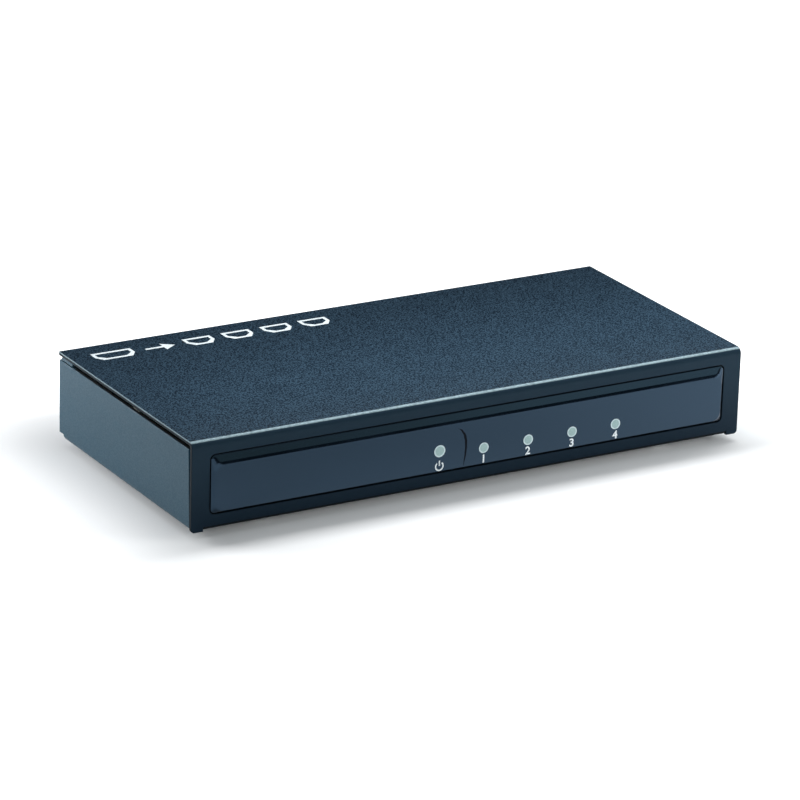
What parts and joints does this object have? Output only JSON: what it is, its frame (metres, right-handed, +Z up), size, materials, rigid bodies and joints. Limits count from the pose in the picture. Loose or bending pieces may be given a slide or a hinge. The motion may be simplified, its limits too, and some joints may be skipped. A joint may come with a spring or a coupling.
{
  "type": "digital video splitter",
  "caption": "Flat folded-steel box with a long domed front label and indicator lamps, that copies one video signal to several rear sockets.",
  "frame": {"origin": "middle of the box's plan, on the surface that the feet stand on", "axes": "+X to the right seen from the front, -Y the front with the label, +Z up"},
  "size_m": [0.17, 0.0788, 0.027],
  "materials": {
    "case_paint": "fine textured powder coat, dark blue-grey",
    "foot_rubber": "matt",
    "tape": "matt",
    "label_print": "black print with pale windows",
    "label_clear": "clear, glossy",
    "zinc": "zinc plated",
    "board": "green solder mask",
    "tinned": "tin plated",
    "black_moulding": "moulded, fine matt",
    "nickel": "nickel plated",
    "chip_moulding": "moulded, matt",
    "pad_grey": "soft, matt",
    "sink_black": "black anodised",
    "ferrite": "pressed powder, matt",
    "can_aluminium": "bright drawn",
    "fuse_green": "moulded",
    "ceramic_tan": "fired ceramic",
    "resistor_black": "glazed",
    "led_clear": "water clear",
    "socket_shell": "nickel-plated steel",
    "gold": "gold plated"
  },
  "bodies": {
    "root": {"top_cover": "case_paint", "base_tray": "case_paint", "rubber_feet": "foot_rubber", "label_adhesive": "tape", "label_film": "label_print", "label_dome": "label_clear", "cover_screws": "zinc", "weld_nuts": "zinc", "cover_pillars": "zinc", "board_standoffs": "zinc", "board_screws": "zinc", "main_board": "board", "led_leads": "tinned", "led_holders": "black_moulding", "dc_jack_body": "black_moulding", "dc_jack_pin": "nickel", "dc_jack_spring": "nickel", "dc_jack_terminals": "nickel", "splitter_chip": "chip_moulding", "thermal_pad": "pad_grey", "heat_sink": "sink_black", "controller_chip": "chip_moulding", "controller_chip_leads": "tinned", "memory_chip": "chip_moulding", "converter_chip": "chip_moulding", "voltage_regulator": "chip_moulding", "small_chip_leads": "tinned", "power_inductor": "ferrite", "inductor_terminals": "tinned", "capacitor_cans": "can_aluminium", "capacitor_bases": "black_moulding", "crystal_can": "nickel", "input_fuse": "fuse_green", "ceramic_capacitors": "ceramic_tan", "resistors": "resistor_black", "line_protectors": "chip_moulding", "led_power": "led_clear", "led_output_1": "led_clear", "led_output_2": "led_clear", "led_output_3": "led_clear", "led_output_4": "led_clear", "input_socket_shell": "socket_shell", "input_socket_insulator": "black_moulding", "input_socket_contacts": "gold", "output_socket_1_shell": "socket_shell", "output_socket_1_insulator": "black_moulding", "output_socket_1_contacts": "gold", "output_socket_2_shell": "socket_shell", "output_socket_2_insulator": "black_moulding", "output_socket_2_contacts": "gold", "output_socket_3_shell": "socket_shell", "output_socket_3_insulator": "black_moulding", "output_socket_3_contacts": "gold", "output_socket_4_shell": "socket_shell", "output_socket_4_insulator": "black_moulding", "output_socket_4_contacts": "gold"}
  },
  "joints": []
}
